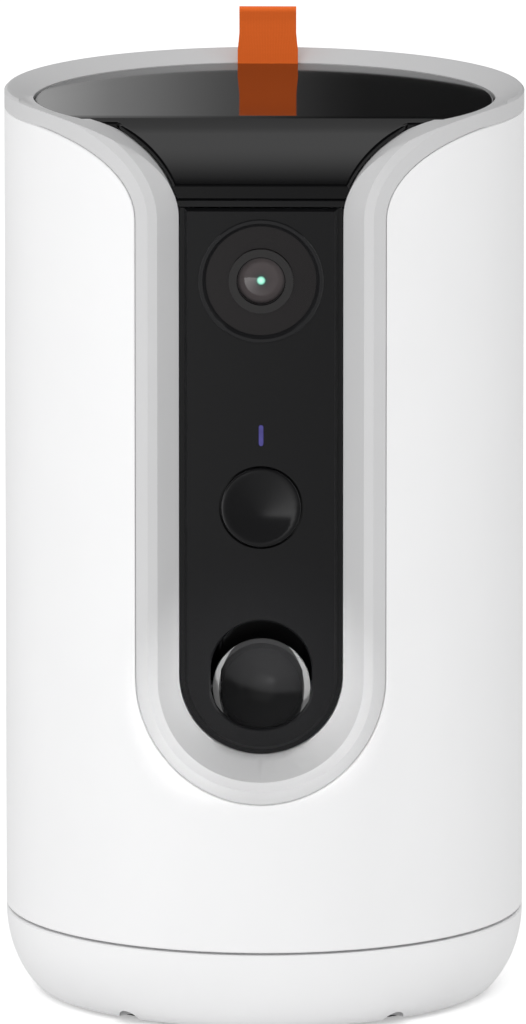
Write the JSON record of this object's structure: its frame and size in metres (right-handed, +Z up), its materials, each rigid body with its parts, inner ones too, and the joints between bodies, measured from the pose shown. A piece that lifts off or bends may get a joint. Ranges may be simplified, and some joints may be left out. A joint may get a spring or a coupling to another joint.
{
  "type": "treat tossing pet camera",
  "caption": "Round upright pet camera: treat hopper under a lift-off lid, metering wheel, drop chute, and a sprung cup that tosses a treat out of the front mouth.",
  "frame": {"origin": "under the middle of the rubber foot, on the body's axis", "axes": "+Z up, the front with the camera and the mouth faces -Y, +X to the right as seen from the front"},
  "size_m": [0.12, 0.12, 0.2224],
  "materials": {
    "shell_white": "smooth semi-gloss white",
    "liner_grey": "satin light grey",
    "panel_black": "high gloss black",
    "lid_black": "high gloss black",
    "ribbon_orange": "woven ribbon",
    "rubber_grey": "matte rubber",
    "seal_silicone": "soft silicone",
    "steel": "bright zinc plated",
    "ballast_steel": "rolled plate",
    "button_black": "gloss black",
    "cup_grey": "satin grey",
    "housing_black": "matte black",
    "hopper_grey": "smooth food-safe plastic",
    "frame_grey": "moulded",
    "gear_white": "acetal",
    "motor_steel": "pressed can",
    "trim_black": "gloss black with a bright edge",
    "window_dark": "dark infrared window",
    "lens_glass": "coated lens",
    "lamp_clear": "clear lamp domes",
    "light_blue": "lit blue-violet light pipe",
    "board_green": "circuit board",
    "part_black": "moulded electronic part",
    "cone_paper": "speaker cone"
  },
  "bodies": {
    "body": {"body_shell": "shell_white", "trim_liner": "liner_grey", "base_shell": "shell_white", "base_screws": "steel", "foot_ring": "rubber_grey", "ballast_plate": "ballast_steel", "front_panel": "panel_black", "front_carrier": "frame_grey", "camera_bay_cover": "panel_black", "camera_trim": "trim_black", "infrared_window": "window_dark", "camera_barrel": "part_black", "camera_lens": "lens_glass", "lens_holder": "part_black", "camera_board": "board_green", "lamp_board": "board_green", "infrared_lamps": "lamp_clear", "light_pipe": "light_blue", "front_board": "board_green", "button_switch": "part_black", "hopper": "hopper_grey", "treat_guard": "hopper_grey", "metering_housing": "hopper_grey", "metering_bracket": "frame_grey", "metering_gearbox": "part_black", "metering_motor": "motor_steel", "drop_chute": "hopper_grey", "toss_housing": "housing_black", "cup_spring": "steel", "toss_gearbox": "part_black", "toss_motor": "motor_steel", "inner_frame": "frame_grey", "main_board": "board_green", "radio_shield": "motor_steel", "power_inlet": "part_black", "left_speaker": "part_black", "right_speaker": "part_black", "speaker_cones": "cone_paper", "short_screws": "steel"},
    "lid": {"lid": "lid_black", "lid_plug": "lid_black", "lid_seal": "seal_silicone", "lid_tab": "ribbon_orange", "tab_clamp": "lid_black", "tab_screws": "steel"},
    "toss_button": {"toss_button": "button_black"},
    "reset_button": {"reset_button": "part_black"},
    "toss_cup": {"toss_cup": "cup_grey", "cup_pin_left": "steel", "cup_pin_right": "steel", "cup_gear": "gear_white", "spring_collar": "gear_white"},
    "drive_gear": {"drive_gear": "gear_white", "drive_shaft": "steel"},
    "metering_rotor": {"metering_rotor": "gear_white", "rotor_shaft": "steel", "rotor_gear": "gear_white"},
    "rotor_pinion": {"rotor_pinion": "gear_white"}
  },
  "joints": [
    {"name": "lid_lift", "type": "slide", "parent": "body", "child": "lid", "axis": [0, 0, 1], "range_m": [0, 0.05]},
    {"name": "toss_button_press", "type": "slide", "parent": "body", "child": "toss_button", "axis": [0, 1, 0], "range_m": [0, 0.0012], "stiffness_N_per_m": 400},
    {"name": "reset_button_press", "type": "slide", "parent": "body", "child": "reset_button", "axis": [0, -1, 0], "range_m": [0, 0.0008], "stiffness_N_per_m": 400},
    {"name": "drive_gear_turn", "type": "hinge", "parent": "body", "child": "drive_gear", "pos_m": [0, -0.01688, 0.06822], "axis": [1, 0, 0], "range_deg": [0, 33]},
    {"name": "toss_cup_turn", "type": "hinge", "parent": "body", "child": "toss_cup", "pos_m": [0, -0.037, 0.0776], "axis": [1, 0, 0], "range_deg": [-90, 0], "stiffness_Nm_per_rad": 0.02},
    {"name": "metering_rotor_turn", "type": "hinge", "parent": "body", "child": "metering_rotor", "pos_m": [0, 0.016, 0.14], "axis": [0, 0, 1], "continuous": true},
    {"name": "rotor_pinion_turn", "type": "hinge", "parent": "body", "child": "rotor_pinion", "pos_m": [0, 0.0265, 0.138], "axis": [0, 0, 1], "continuous": true}
  ],
  "couplings": [
    {"joint": "toss_cup_turn", "follows": "drive_gear_turn", "ratio": -2.7},
    {"joint": "rotor_pinion_turn", "follows": "metering_rotor_turn", "ratio": -2}
  ]
}
